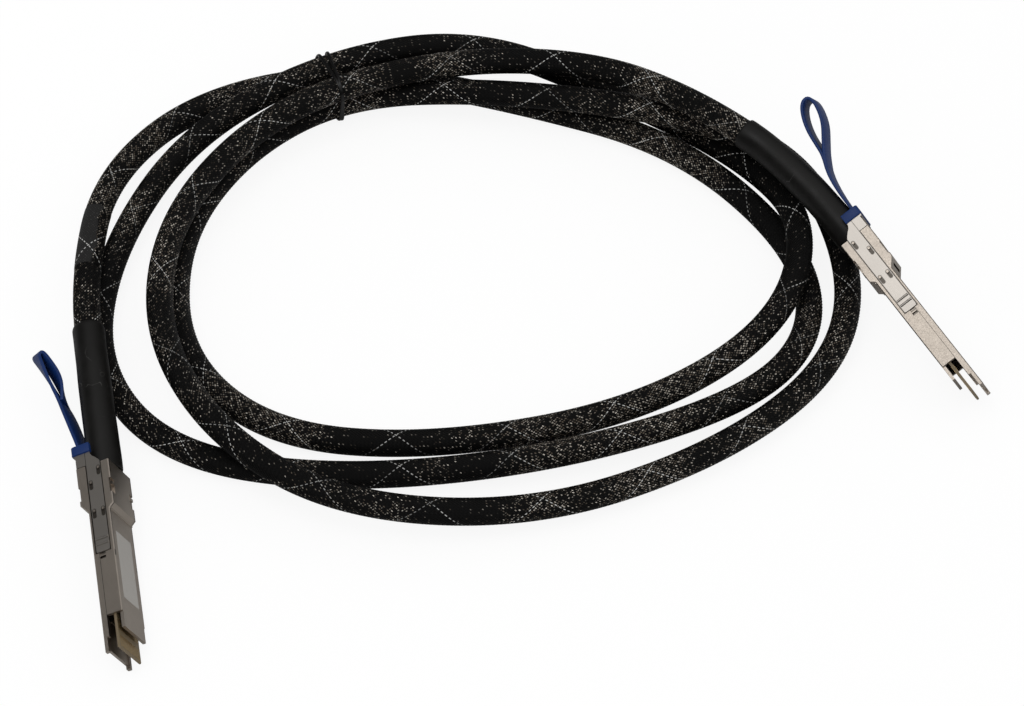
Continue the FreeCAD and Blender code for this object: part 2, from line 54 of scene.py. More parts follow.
# %% Place the camera
LOOK_AT = Vector((0.001, 0.025, 0.0))
CAMERA_DISTANCE = 1.2401
CAMERA_ELEVATION = math.radians(53.0)
LENS_MM = 112.5
away = Vector((0.0, -math.cos(CAMERA_ELEVATION), math.sin(CAMERA_ELEVATION)))
camera_data = bpy.data.cameras.new("camera")
camera_data.lens = LENS_MM
camera_data.sensor_width = 36.0
camera_data.clip_end = 20.0
camera = bpy.data.objects.new("camera", camera_data)
camera.location = LOOK_AT + away * CAMERA_DISTANCE
camera.rotation_euler = away.to_track_quat("Z", "Y").to_euler()
bpy.context.scene.collection.objects.link(camera)
bpy.context.scene.camera = camera
print("camera at", [round(v, 3) for v in camera.location])

# %% [markdown]
# ## The cord's line
# The cable is a bundle of sixteen screened pairs, too stiff to bend sharply, so it
# lies in wide curves. Its line is one smooth NURBS spline whose control points go turn
# by turn from plug a to plug b. A NURBS spline rounds every corner by itself, where
# points joined by straight runs would look like bent wire. The last turn climbs over
# the others on its way out.

# %% Route of the cable, in metres
ROUTE = [
    # straight out of plug a, then the first turn
    (-0.1496, -0.0424, 0.0156), (-0.1566, -0.0031, 0.0184), (-0.165, 0.045, 0.018),
    (-0.162, 0.106, 0.010), (-0.126, 0.151, 0.006), (-0.062, 0.165, 0.007),
    (0.0, 0.151, 0.006), (0.068, 0.126, 0.007), (0.113, 0.076, 0.0055),
    (0.119, 0.029, 0.009), (0.091, -0.007, 0.012), (0.017, -0.031, 0.008),
    (-0.065, -0.039, 0.0055), (-0.129, -0.027, 0.0055),
    # second turn
    (-0.160, 0.014, 0.0055), (-0.158, 0.071, 0.0055), (-0.129, 0.128, 0.011),
    (-0.074, 0.160, 0.019), (-0.014, 0.176, 0.015), (0.043, 0.153, 0.007),
    (0.095, 0.120, 0.0055), (0.118, 0.074, 0.019), (0.103, 0.023, 0.018),
    (0.048, -0.010, 0.009), (-0.029, -0.024, 0.0055), (-0.091, -0.018, 0.0055),
    # third turn
    (-0.128, 0.019, 0.0055), (-0.132, 0.077, 0.0055), (-0.108, 0.124, 0.0055),
    (-0.067, 0.152, 0.007), (-0.007, 0.146, 0.017), (0.065, 0.134, 0.018),
    (0.116, 0.111, 0.017), (0.136, 0.060, 0.0055), (0.124, 0.011, 0.007),
    (0.077, -0.029, 0.007), (0.009, -0.056, 0.007), (-0.064, -0.056, 0.014),
    # last part turn, over the others and into plug b
    (-0.112, -0.025, 0.019), (-0.138, 0.029, 0.016), (-0.131, 0.087, 0.018),
    (-0.090, 0.138, 0.019), (-0.026, 0.157, 0.023), (0.033, 0.153, 0.026),
    (0.074, 0.128, 0.031), (0.1132, 0.0944, 0.0289), (0.1349, 0.0614, 0.0227)]
print("route points", len(ROUTE))


# %% A spline through control points
POINT_RADIUS = 0.005     # a point's radius scales the bevel, and the box grows by it


def spline_curve(name, points, bevel=0.0, steps=12):
    """One open NURBS spline of order 3, pinned at both ends."""
    data = bpy.data.curves.new(name, "CURVE")
    data.dimensions = "3D"
    data.resolution_u = steps
    data.bevel_depth = bevel / POINT_RADIUS
    data.bevel_resolution = 6
    spline = data.splines.new("NURBS")
    spline.points.add(len(points) - 1)
    for place, point in zip(points, spline.points):
        point.co = (*place, 1.0)
        point.radius = POINT_RADIUS
    spline.order_u = 3
    spline.use_endpoint_u = True
    item = bpy.data.objects.new(name, data)
    bpy.context.scene.collection.objects.link(item)
    return item


def points_along(points, steps=24):
    """The spline's own points, as an array, read from a curve with no bevel."""
    thread = spline_curve("thread", points, steps=steps)
    mesh = bpy.data.meshes.new_from_object(thread)
    line = np.array([v.co[:] for v in mesh.vertices])
    bpy.data.objects.remove(thread)
    bpy.data.meshes.remove(mesh)
    return line


def distances_along(line):
    """How far along the line each of its points is."""
    steps = np.linalg.norm(np.diff(line, axis=0), axis=1)
    return np.concatenate([[0.0], np.cumsum(steps)])


centre_line = points_along(ROUTE)
distance = distances_along(centre_line)
CORD_END = distance[-1]
print("spline length", round(CORD_END, 4), "m in", len(centre_line), "points")

# %% [markdown]
# ## The cord
# The core is the spline itself with a round bevel, a little thinner than the cable. The woven
# sleeve that the eye sees is a mesh that follows the same spline, because a curve's bevel
# can't carry crossing strands.

# %% Cord core
CORE_DIAMETER = 9.8 * MM
cord = spline_curve("cord_core", ROUTE, bevel=CORE_DIAMETER / 2)
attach(cord, "cable_set")
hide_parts("cable")
print("core diameter", CORE_DIAMETER)


# %% Directions across the line
def carried_sides(line):
    """Tangents, and a side direction carried along the line without twist."""
    tangent = np.gradient(line, axis=0)
    tangent /= np.linalg.norm(tangent, axis=1)[:, None]
    side = np.cross(tangent[0], (0.0, 0.0, 1.0))
    sides = []
    for direction in tangent:
        side = side - direction * side.dot(direction)
        side = side / np.linalg.norm(side)
        sides.append(side)
    return tangent, np.array(sides)


line_tangent, line_side = carried_sides(centre_line)


def frames_at(where):
    """Centre, side and up at each of these distances along the cord."""
    centre, side, tangent = (
        np.stack([np.interp(where, distance, values[:, i]) for i in range(3)], 1)
        for values in (centre_line, line_side, line_tangent))
    tangent /= np.linalg.norm(tangent, axis=1)[:, None]
    side -= tangent * (side * tangent).sum(1)[:, None]
    side /= np.linalg.norm(side, axis=1)[:, None]
    return centre, side, np.cross(tangent, side)


print("side directions", line_side.shape)


# %% A mesh from rings of points
def ring_mesh(name, rings, u_values, v_values, closed=False):
    """A tube through rings of points, outward faces, with a UV map in weave cells."""
    count, around = rings.shape[:2]
    i = np.arange(count if closed else count - 1)[:, None]
    j = np.arange(around)[None, :]
    low, high = i * around, ((i + 1) % count) * around
    near, far = j, (j + 1) % around
    faces = np.stack([low + near, low + far, high + far, high + near], -1).reshape(-1, 4)
    mesh = bpy.data.meshes.new(name)
    mesh.vertices.add(count * around)
    mesh.vertices.foreach_set("co", rings.reshape(-1).astype(np.float32))
    mesh.loops.add(faces.size)
    mesh.loops.foreach_set("vertex_index", faces.reshape(-1).astype(np.int32))
    mesh.polygons.add(len(faces))
    mesh.polygons.foreach_set("loop_start", np.arange(0, faces.size, 4, dtype=np.int32))
    mesh.update(calc_edges=True)
    u = np.broadcast_to(np.stack([j, j + 1, j + 1, j], -1), (len(i), around, 4))
    v = np.broadcast_to(np.stack([i, i, i + 1, i + 1], -1), (len(i), around, 4))
    uv = np.stack([u_values[u], v_values[v]], -1)
    mesh.uv_layers.new(name="weave").data.foreach_set("uv", uv.reshape(-1).astype(np.float32))
    mesh.polygons.foreach_set("use_smooth", np.ones(len(faces), dtype=bool))
    item = bpy.data.objects.new(name, mesh)
    bpy.context.scene.collection.objects.link(item)
    print(name, len(faces) * 2, "triangles")
    return item


def swept(where, radius, around):
    """Rings of points round the cord: radius is an array of rings by points."""
    centre, side, up = frames_at(where)
    angle = np.arange(around) * 2 * math.pi / around
    out = (np.cos(angle)[None, :, None] * side[:, None, :]
           + np.sin(angle)[None, :, None] * up[:, None, :])
    return centre[:, None, :] + radius[:, :, None] * out


# %% [markdown]
# ## Woven sleeve
# The sleeve is plaited from 28 strands each way, three monofilaments to a strand. Where
# two strands cross, the sleeve stands out, and between crossings it dips. A grid with
# one point to each crossing and one to each dip gives that in the mesh, and the
# filaments themselves are a bump in the finish. The sleeve is made in three lengths, so
# that none of them has too many faces.

# %% Weave sizes
STRANDS = 28
TURN_LENGTH = 42.0 * MM             # a strand goes once round the cable in this length
CELL = TURN_LENGTH / STRANDS
HALF_CELL = CELL / 2
SLEEVE_HIGH = 5.24 * MM             # radius at a crossing
SLEEVE_LOW = 5.03 * MM              # radius between crossings
SLEEVE_EASE = 0.05 * MM             # how much the whole sleeve swells and thins
SLEEVE_PARTS = 3
BOOT_LENGTH = 66.0 * MM
BOOT_COVER = 8.0 * MM               # the sleeve runs on inside each boot
print("cell", round(CELL / MM, 3), "mm")


# %% Sleeve lengths
def woven_tube(name, first, last, low, high):
    """The sleeve between two half-cell numbers."""
    step = np.arange(first, last + 1)
    j = np.arange(2 * STRANDS)
    crossing = (step[:, None] + j[None, :]) % 2 == 0
    ease = SLEEVE_EASE * np.sin(step * 0.021) * np.sin(step * 0.0083 + 1.0)
    radius = np.where(crossing, high, low) + ease[:, None]
    rings = swept(step * HALF_CELL, radius, 2 * STRANDS)
    return ring_mesh(name, rings, np.arange(2 * STRANDS + 1) / 2, step / 2)


first_step = round((BOOT_LENGTH - BOOT_COVER) / HALF_CELL)
last_step = round((CORD_END - BOOT_LENGTH + BOOT_COVER) / HALF_CELL)
cuts = [round(first_step + (last_step - first_step) * part / SLEEVE_PARTS)
        for part in range(SLEEVE_PARTS + 1)]
sleeves = [woven_tube("sleeve_%d" % (n + 1), cuts[n], cuts[n + 1], SLEEVE_LOW, SLEEVE_HIGH)
           for n in range(SLEEVE_PARTS)]
for piece in sleeves:
    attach(piece, "cable_set")

# %% [markdown]
# ## Marker wrap
# A turn of dark tape shows through the sleeve a little way out of plug a's boot. It
# fills the weave's gaps, so that length looks smoother and greyer. It is made as a
# short piece of the same weave, a hair larger, with a finish of its own.

# %% Wrap
WRAP_START = 96.0 * MM
WRAP_LENGTH = 32.0 * MM
WRAP_LOW, WRAP_HIGH = SLEEVE_HIGH + 0.06 * MM, SLEEVE_HIGH + 0.12 * MM
wrap_steps = [round(s / HALF_CELL) for s in (WRAP_START, WRAP_START + WRAP_LENGTH)]
wrap = woven_tube("marker_wrap", *wrap_steps, WRAP_LOW, WRAP_HIGH)
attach(wrap, "cable_set")
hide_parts("id_wrap")

# %% [markdown]
# ## Shrink boots
# A length of heat-shrink tube covers the sleeve's end behind each plug. Shrinking
# leaves it a little uneven, slightly stouter at the plug, with a soft rolled rim where
# it was cut. Its section is drawn as a closed outline of distance and radius, and swept
# along the cord's line.

# %% Boot outline and boots
BOOT_OUTLINE = [     # distance from the plug and radius in mm, along the outside and back inside
    (0.0, 5.7), (0.15, 6.25), (0.7, 6.45), (4, 6.48), (10, 6.46), (16, 6.42), (22, 6.40),
    (28, 6.36), (34, 6.33), (40, 6.28), (46, 6.24), (52, 6.20), (58, 6.16), (62, 6.15),
    (64.3, 6.18), (65.3, 6.16), (65.8, 6.05), (66.0, 5.85), (65.8, 5.55), (65.0, 5.40),
    (60, 5.36), (30, 5.36), (0.0, 5.36)]
BOOT_AROUND = 56
BOOT_UNEVEN = 0.045 * MM
BOOT_WAVES = ((1.0, 210, 2, 0), (0.6, 95, 3, 1), (0.5, 420, -1, 0))   # share, rate, lobes, start


def boot(name, node, from_start):
    """A boot on one end of the cord, its outline counted from that end."""
    steps = []
    for (s0, r0), (s1, r1) in zip(BOOT_OUTLINE, BOOT_OUTLINE[1:]):
        parts = max(1, round(abs(s1 - s0)))
        steps += [(s0 + (s1 - s0) * k / parts, r0 + (r1 - r0) * k / parts) for k in range(parts)]
    steps.append(BOOT_OUTLINE[-1])
    s, r = np.array(steps).T * MM
    angle = np.arange(BOOT_AROUND) * 2 * math.pi / BOOT_AROUND
    uneven = sum(share * np.sin(s[:, None] * rate + lobes * angle + start)
                 for share, rate, lobes, start in BOOT_WAVES)
    radius = r[:, None] + BOOT_UNEVEN * uneven
    where = s if from_start else CORD_END - s
    rings = swept(where, radius, BOOT_AROUND)
    if not from_start:
        rings = rings[:, ::-1]
    u_values = np.arange(BOOT_AROUND + 1) / BOOT_AROUND
    item = ring_mesh(name, rings, u_values, np.append(s, s[-1]) / MM, closed=True)
    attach(item, "cable_set")
    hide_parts(node)
    return item


boots = [boot("shrink_boot_a", "boot_a", True), boot("shrink_boot_b", "boot_b", False)]

# %% [markdown]
# ## Twist tie
# A coated wire goes twice round the bundle where the turns lie closest, and its two
# turns run together on the near side. Each turn is a taut loop round four runs: the
# convex outline of four circles. It is swept with a rounded flat section, like the
# plastic coat on the wire.

# %% Tie turns
TIE_TURNS = (    # a point on the turn's plane, its heading, and the runs it goes round, in mm
    ((-72.5, 149.0), 114.5, ((14.1, 6.8), (8.8, 17.6), (-6.4, 20.3), (-3.2, 6.9))),
    ((-70.5, 149.0), 106.5, ((13.3, 6.8), (9.6, 17.6), (-5.6, 20.3), (-2.7, 6.9))))
TIE_REACH = 5.85     # from a run's middle to the wire's
TIE_WIDE, TIE_THICK = 1.4, 1.0
TIE_POINTS = 120
TIE_SIDES = 14
CIRCLE_STEP, SEARCH_STEP = 4, 2     # degrees
POINTS_APART = 0.02                 # points of the outline nearer than this are one point
SMOOTHINGS = 3


def taut_outline(runs, reach):
    """Points on the convex outline round circles at the runs, evenly spaced."""
    angle = np.radians(np.arange(0, 360, CIRCLE_STEP))
    cloud = np.concatenate([np.array(s) + reach * np.stack([np.cos(angle), np.sin(angle)], 1)
                            for s in runs])
    middle = np.mean(runs, axis=0)
    best = []
    for a in np.radians(np.arange(0, 360, SEARCH_STEP)):
        towards = np.array((math.cos(a), math.sin(a)))
        best.append(cloud[np.argmax(cloud @ towards)])
    loop = np.array(best)
    keep = np.linalg.norm(loop - np.roll(loop, 1, axis=0), axis=1) > POINTS_APART
    loop = loop[keep]
    ends = np.concatenate([loop, loop[:1]])
    run = distances_along(ends)
    even = np.linspace(0, run[-1], TIE_POINTS + 1)[:-1]
    loop = np.stack([np.interp(even, run, ends[:, i]) for i in range(2)], 1)
    for _ in range(SMOOTHINGS):
        loop = (np.roll(loop, 1, axis=0) + 2 * loop + np.roll(loop, -1, axis=0)) / 4
    return loop, middle


def tie_turn(name, point, heading, runs):
    """One turn of the coated wire, in the upright plane through the point."""
    loop, middle = taut_outline(runs, TIE_REACH)
    along = np.roll(loop, -1, axis=0) - np.roll(loop, 1, axis=0)
    along /= np.linalg.norm(along, axis=1)[:, None]
    outward = np.stack([along[:, 1], -along[:, 0]], 1)
    outward *= np.sign(((loop - middle) * outward).sum())
    turn = math.radians(heading)
    u_axis = np.array((math.cos(turn), math.sin(turn), 0.0))
    across = np.array((-math.sin(turn), math.cos(turn), 0.0))
    up = np.array((0.0, 0.0, 1.0))
    base = np.array((*point, 0.0))
    angle = np.arange(TIE_SIDES) * 2 * math.pi / TIE_SIDES
    centre = base + loop[:, :1] * u_axis + loop[:, 1:] * up
    out = outward[:, :1] * u_axis + outward[:, 1:] * up
    rings = (centre[:, None, :] + np.cos(angle)[None, :, None] * out[:, None, :] * TIE_THICK / 2
             + np.sin(angle)[None, :, None] * across * TIE_WIDE / 2) * MM
    first = np.cross(rings[0, 1] - rings[0, 0], rings[1, 0] - rings[0, 0])
    if first.dot(out[0]) < 0:
        rings = rings[:, ::-1]
    u_values = np.arange(TIE_SIDES + 1) / TIE_SIDES
    item = ring_mesh(name, rings, u_values, np.arange(len(rings) + 1) / 10, closed=True)
    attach(item, "cable_set")
    return item


ties = [tie_turn("tie_turn_%d" % (n + 1), *turn) for n, turn in enumerate(TIE_TURNS)]
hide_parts("twist_tie")
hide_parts("twist_tie")

# %% [markdown]
# ## Pull tabs
# Each latch slider ends in a soft blue moulding: a grip over the slider's two legs, and
# a flat strap whose end turns back on itself into a finger loop. The grip is a cube cut
# and extruded into a U. The strap is one edge, pulled along its line step by step and
# turned a little at each step, then given its thickness.

# %% Places of the plugs: the stop face in millimetres, then turn, pitch and roll in degrees
PLUG_A = (-150.6, -62.6, 12.45, -80.0, 4.0, -68.0)
PLUG_B = (149.5, 47.1, 21.7, -56.6, 9.0, 117.1)


def plug_place(x, y, z, turn, pitch, roll):
    """From the plug's own frame, in metres, to the model's."""
    spin = (Matrix.Rotation(math.radians(turn), 4, "Z")
            @ Matrix.Rotation(math.radians(pitch), 4, "Y")
            @ Matrix.Rotation(math.radians(roll), 4, "X"))
    return Matrix.Translation(Vector((x, y, z)) * MM) @ spin


places = {"a": plug_place(*PLUG_A), "b": plug_place(*PLUG_B)}
print("plug a noses towards", [round(v, 2) for v in places["a"].col[0][:3]])


# %% Editing helpers
SAME = 1e-5     # lengths in metres, or angles in radians, nearer than this count as equal


def start_edit(item):
    """Take the piece alone into edit mode."""
    bpy.ops.object.select_all(action="DESELECT")
    bpy.context.view_layer.objects.active = item
    item.select_set(True)
    bpy.ops.object.mode_set(mode="EDIT")


def choose(item, kind, test):
    """Select the faces, edges or vertices whose middle passes the test."""
    bpy.ops.object.mode_set(mode="EDIT")
    bpy.ops.mesh.select_mode(type=kind)
    bpy.ops.mesh.select_all(action="DESELECT")
    bpy.ops.object.mode_set(mode="OBJECT")
    mesh = item.data
    parts = {"VERT": mesh.vertices, "EDGE": mesh.edges, "FACE": mesh.polygons}[kind]
    for part in parts:
        corners = [mesh.vertices[i].co for i in part.vertices] if kind != "VERT" else [part.co]
        middle = sum(corners, Vector()) / len(corners)
        part.select = bool(test(middle, part))
    bpy.ops.object.mode_set(mode="EDIT")


def round_edges(item, width, segments, sharper_than):
    """Round every edge that turns by more than this many degrees."""
    rounding = item.modifiers.new("rounding", "BEVEL")
    rounding.width = width
    rounding.segments = segments
    rounding.limit_method = "ANGLE"
    rounding.angle_limit = math.radians(sharper_than)


def apply_all(item):
    """Apply the piece's modifiers in order."""
    bpy.ops.object.mode_set(mode="OBJECT")
    bpy.ops.object.select_all(action="DESELECT")
    bpy.context.view_layer.objects.active = item
    item.select_set(True)
    for modifier in list(item.modifiers):
        bpy.ops.object.modifier_apply(modifier=modifier.name)


def block(name, low, high):
    """A box between two corners, in metres, as a cube with its size and place applied."""
    bpy.ops.object.select_all(action="DESELECT")
    low, high = Vector(low), Vector(high)
    bpy.ops.mesh.primitive_cube_add(size=1.0, location=(low + high) / 2)
    item = bpy.context.object
    item.name = name
    item.scale = high - low
    bpy.ops.object.transform_apply(location=True, rotation=True, scale=True)
    return item


print("helpers ready")

# %% Grip sizes
GRIP_REAR, GRIP_FRONT = -29.2 * MM, -25.3 * MM
GRIP_HALF = 9.775 * MM
GRIP_INNER = 7.875 * MM
GRIP_LOW, GRIP_FLOOR, GRIP_TOP = -4.1 * MM, -2.0 * MM, 3.5 * MM
GRIP_BEVEL = 1.2 * MM
GRIP_ROUNDING = 0.32 * MM


def grip(name):
    """The U-shaped block over the slider's legs."""
    item = block(name, (GRIP_REAR, -GRIP_HALF, GRIP_LOW), (GRIP_FRONT, GRIP_HALF, GRIP_FLOOR))
    start_edit(item)
    for side in (-1, 1):
        bpy.ops.mesh.select_all(action="SELECT")
        bpy.ops.mesh.bisect(plane_co=(0, side * GRIP_INNER, 0), plane_no=(0, 1, 0))
    choose(item, "FACE", lambda m, f: f.normal.z > 0.9 and abs(m.y) > GRIP_INNER)
    bpy.ops.mesh.extrude_region_move(
        TRANSFORM_OT_translate={"value": (0, 0, GRIP_TOP - GRIP_FLOOR)})
    grip_middle = (GRIP_REAR + GRIP_FRONT) / 2
    choose(item, "EDGE", lambda m, e: abs(m.z - GRIP_LOW) < SAME and abs(m.y) > GRIP_HALF - SAME
           and abs(m.x - grip_middle) < SAME)
    bpy.ops.mesh.bevel(offset=GRIP_BEVEL, segments=3)
    bpy.ops.object.mode_set(mode="OBJECT")
    round_edges(item, GRIP_ROUNDING, 3, sharper_than=40)
    apply_all(item)
    return item


# %% Strap lines
STRAP_WIDTH = 8.0 * MM
STRAP_THICK = 1.15 * MM
STRAP_ROOT = 0.4 * MM          # how far the strap reaches on into the grip, past its line
STRAP_ROUNDING = 0.3 * MM
# Place along the plug and height towards the label side, in mm, and twist in degrees.
STRAP_LINES = {
    "a": [(-27.0, -2.4, 0), (-33.0, -3.3, 4), (-39.0, -4.6, 7), (-45.0, -6.0, 8), (-51.0, -7.6, 6),
          (-56.2, -9.2, 0), (-62.0, -11.5, -9), (-67.6, -13.4, -17), (-73.0, -15.2, -25),
          (-77.8, -16.9, -35), (-80.6, -17.9, -42), (-82.0, -17.4, -45), (-81.2, -15.9, -45),
          (-77.3, -14.0, -44), (-71.2, -11.4, -42), (-66.9, -10.0, -38), (-62.5, -9.0, -30),
          (-58.6, -8.5, -18), (-55.4, -8.3, -8)],
    "b": [(-27.0, -2.0, 0), (-33.0, -2.0, 2), (-41.0, -2.4, 5), (-49.0, -3.7, 8), (-56.0, -6.6, 9),
          (-61.5, -7.2, 10), (-68.0, -7.9, 10), (-74.5, -9.9, 10), (-79.2, -12.9, 10),
          (-79.6, -16.3, 10), (-75.5, -17.1, 10), (-67.5, -14.9, 10), (-61.0, -10.4, 10),
          (-56.0, -7.0, 9), (-51.0, -4.6, 8)]}
# How far the loop's one side lies ahead of its other, for each unit across.
STRAP_SLANT = {"a": 0.5, "b": 0.0}
SLANT_FROM, SLANT_TO = -60.0 * MM, -80.0 * MM


def strap(name, line, slant):
    """A ribbon pulled along its line, with the loop's end closed on the stem.

    The slant grows from none at SLANT_FROM to all of it at SLANT_TO."""
    smooth = points_along([(x * MM, t, z * MM) for x, z, t in line], steps=4)
    middles = [Vector((x, 0.0, z)) for x, t, z in smooth]
    twists = [math.radians(t) for x, t, z in smooth]
    bpy.ops.object.select_all(action="DESELECT")
    bpy.ops.mesh.primitive_plane_add(size=STRAP_WIDTH, location=middles[0])
    item = bpy.context.object
    item.name = name
    bpy.ops.object.transform_apply(location=True, rotation=True, scale=True)
    root = middles[0].x
    rear = root - STRAP_WIDTH / 2
    choose(item, "VERT", lambda m, v: m.x > rear + SAME)
    bpy.ops.transform.translate(value=(root + STRAP_ROOT - (rear + STRAP_WIDTH), 0, 0))
    choose(item, "EDGE", lambda m, e: abs(m.x - rear) < SAME)
    bpy.ops.transform.translate(value=(root - rear, 0, 0))
    for before, here, turned, twist in zip(middles, middles[1:], twists, twists[1:]):
        bpy.ops.mesh.extrude_region_move(TRANSFORM_OT_translate={"value": here - before})
        if abs(twist - turned) > SAME:
            bpy.ops.transform.rotate(value=turned - twist, orient_axis="X", center_override=here)
    bpy.ops.object.mode_set(mode="OBJECT")
    for vertex in item.data.vertices:
        reach = (vertex.co.x - SLANT_FROM) / (SLANT_TO - SLANT_FROM)
        vertex.co.x -= slant * vertex.co.y * min(max(reach, 0.0), 1.0)
    wall = item.modifiers.new("wall", "SOLIDIFY")
    wall.thickness = STRAP_THICK
    wall.offset = 0.0
    wall.use_even_offset = True
    round_edges(item, STRAP_ROUNDING, 2, sharper_than=50)
    apply_all(item)
    return item


# %% Pull tabs in place
SMOOTH_UNDER = math.radians(35)
for letter, place in places.items():
    strap_piece = strap("strap_" + letter, STRAP_LINES[letter], STRAP_SLANT[letter])
    grip_piece = grip("pull_tab_soft_" + letter)
    bpy.ops.object.select_all(action="DESELECT")
    strap_piece.select_set(True)
    grip_piece.select_set(True)
    bpy.context.view_layer.objects.active = grip_piece
    bpy.ops.object.join()
    grip_piece.data.transform(place)
    bpy.ops.object.mode_set(mode="EDIT")
    bpy.ops.mesh.select_all(action="SELECT")
    bpy.ops.mesh.normals_make_consistent(inside=False)
    bpy.ops.object.mode_set(mode="OBJECT")
    bpy.ops.object.shade_smooth_by_angle(angle=SMOOTH_UNDER)
    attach(grip_piece, "latch_" + letter)
    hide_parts("pull_tab_" + letter)
    print(grip_piece.name, len(grip_piece.data.polygons), "faces")

# %% [markdown]
# ## Finishes
# Every finish is a Principled shader with plain values on its own sockets, and node
# patterns for what changes over the surface. Patterns that several finishes share are
# node groups. A small class keeps the wiring short enough to read.


# %% Wiring helper
class Wiring:
    """Short calls for the nodes of one tree."""

    def __init__(self, tree):
        self.tree = tree

    def put(self, socket, value):
        """Link another node's output to the socket, or set the socket to a plain value."""
        if isinstance(value, bpy.types.NodeSocket):
            self.tree.links.new(value, socket)
        else:
            socket.default_value = value

    def node(self, kind, values=None, **settings):
        """A new node, with its settings and the values of its inputs."""
        made = self.tree.nodes.new(kind)
        for key, value in settings.items():
            setattr(made, key, value)
        for key, value in (values or {}).items():
            self.put(made.inputs[key], value)
        return made

    def math(self, operation, a, b=0.0):
        """The result of a math node."""
        return self.node("ShaderNodeMath", {0: a, 1: b}, operation=operation).outputs[0]

    def plus(self, a, b):
        """a + b"""
        return self.math("ADD", a, b)

    def minus(self, a, b):
        """a - b"""
        return self.math("SUBTRACT", a, b)

    def times(self, a, b):
        """a * b"""
        return self.math("MULTIPLY", a, b)

    def larger(self, a, b):
        """The larger of a and b."""
        return self.math("MAXIMUM", a, b)

    def size(self, a):
        """a without its sign."""
        return self.math("ABSOLUTE", a)

    def mix(self, factor, a, b):
        """A colour between a and b."""
        return self.node("ShaderNodeMix", {"Factor": factor, 6: a, 7: b}, data_type="RGBA").outputs[2]

    def blend(self, factor, a, b):
        """A number between a and b."""
        return self.node("ShaderNodeMix", {"Factor": factor, 2: a, 3: b}, data_type="FLOAT").outputs[0]

    def ramp(self, value, low, high, to_low=0.0, to_high=1.0):
        """The value, taken from the range low to high to the range to_low to to_high."""
        made = self.node("ShaderNodeMapRange", {0: value, 1: low, 2: high, 3: to_low, 4: to_high})
        return made.outputs[0]

    def noise(self, vector, scale, detail=2.0, roughness=0.5):
        """Soft noise, with this many blots to a unit of the vector."""
        made = self.node("ShaderNodeTexNoise", {"Vector": vector, "Scale": scale, "Detail": detail,
                                                "Roughness": roughness})
        return made.outputs[0]


def colour(r, g, b):
    """A colour as a socket takes it, with its alpha."""
    return (r, g, b, 1.0)


def group(name, inputs, outputs):
    """A new node group, its wiring, and its input and output nodes."""
    tree = bpy.data.node_groups.new(name, "ShaderNodeTree")
    for label, kind, value in inputs:
        socket = tree.interface.new_socket(label, in_out="INPUT", socket_type=kind)
        if value is not None:
            socket.default_value = value
    for label, kind in outputs:
        tree.interface.new_socket(label, in_out="OUTPUT", socket_type=kind)
    return tree, Wiring(tree), tree.nodes.new("NodeGroupInput"), tree.nodes.new("NodeGroupOutput")


FLOAT, VECTOR = "NodeSocketFloat", "NodeSocketVector"
print("wiring ready")

# %% [markdown]
# The plait's pattern is worked out from the UV map, whose unit is one weave cell. A
# strand of one hand keeps u - v constant, and one of the other hand keeps u + v. At each
# crossing one of the two is on top, turn about, and shows its three filaments. In each
# pair of edges below, a mark is gone at the first distance from a strand's middle and
# full at the second, in cells.

# %% Plait group
FILAMENTS = 3
FILAMENT_SHARE = 0.55           # of the bump's height; the strand's own arch has the rest
ARCH = 3.0                      # how fast a strand dips away from its crossing
LANE_DRIFT = 0.16
HAND_GLINT = 0.72               # glints on strands that keep u + v, against the others
GLINT_ACROSS, GLINT_ALONG = (0.30, 0.16), (0.46, 0.28)
TRACER_STRAND = 7.0             # the strand of each hand that holds the tracer
TRACER_ACROSS = (0.21, 0.14)
DOT_EDGES = (0.30, 0.10)
plait, w, gin, gout = group(
    "plait", [("Cell", VECTOR, None)],
    [("Height", FLOAT), ("Glint", FLOAT), ("Tone", FLOAT), ("Tracer", FLOAT), ("Dot", FLOAT)])
cell = w.node("ShaderNodeSeparateXYZ", {0: gin.outputs["Cell"]})
sum_uv = w.plus(cell.outputs[0], cell.outputs[1])
gap_uv = w.minus(cell.outputs[0], cell.outputs[1])
near_sum = w.math("ROUND", sum_uv)
near_gap = w.math("ROUND", gap_uv)
off_sum = w.minus(sum_uv, near_sum)
off_gap = w.minus(gap_uv, near_gap)
both = w.plus(near_sum, near_gap)
on_top = w.math("LESS_THAN", w.math("FLOORED_MODULO", both, 2.0), 0.5)
across = w.blend(on_top, off_sum, off_gap)
along = w.blend(on_top, off_gap, off_sum)
strand = w.math("FLOORED_MODULO", w.blend(on_top, near_sum, near_gap), float(STRANDS))
filament = w.size(w.math("COSINE", w.times(across, FILAMENTS * math.pi)))
crown = w.minus(1.0, w.times(w.times(along, along), ARCH))
height = w.times(crown, w.plus(1.0 - FILAMENT_SHARE, w.times(filament, FILAMENT_SHARE)))
key = w.node("ShaderNodeCombineXYZ", {0: w.math("FLOORED_MODULO", both, 2.0 * STRANDS),
                                      1: w.minus(near_sum, near_gap)})
dice = w.node("ShaderNodeTexWhiteNoise", {"Vector": key.outputs[0]}, noise_dimensions="3D")
shades = w.node("ShaderNodeSeparateColor", {0: dice.outputs["Color"]})
lane = w.times(w.minus(shades.outputs[0], 0.5), LANE_DRIFT)
aside = w.size(w.minus(across, lane))
streak = w.times(w.ramp(aside, *GLINT_ACROSS), w.ramp(w.size(along), *GLINT_ALONG))
hand = w.blend(on_top, HAND_GLINT, 1.0)
glint = w.times(w.times(streak, hand), w.ramp(shades.outputs[1], 0.0, 1.0, 0.01, 1.0))
is_tracer = w.math("LESS_THAN", w.size(w.minus(strand, TRACER_STRAND)), 0.5)
tracer = w.times(is_tracer, w.ramp(w.size(across), *TRACER_ACROSS))
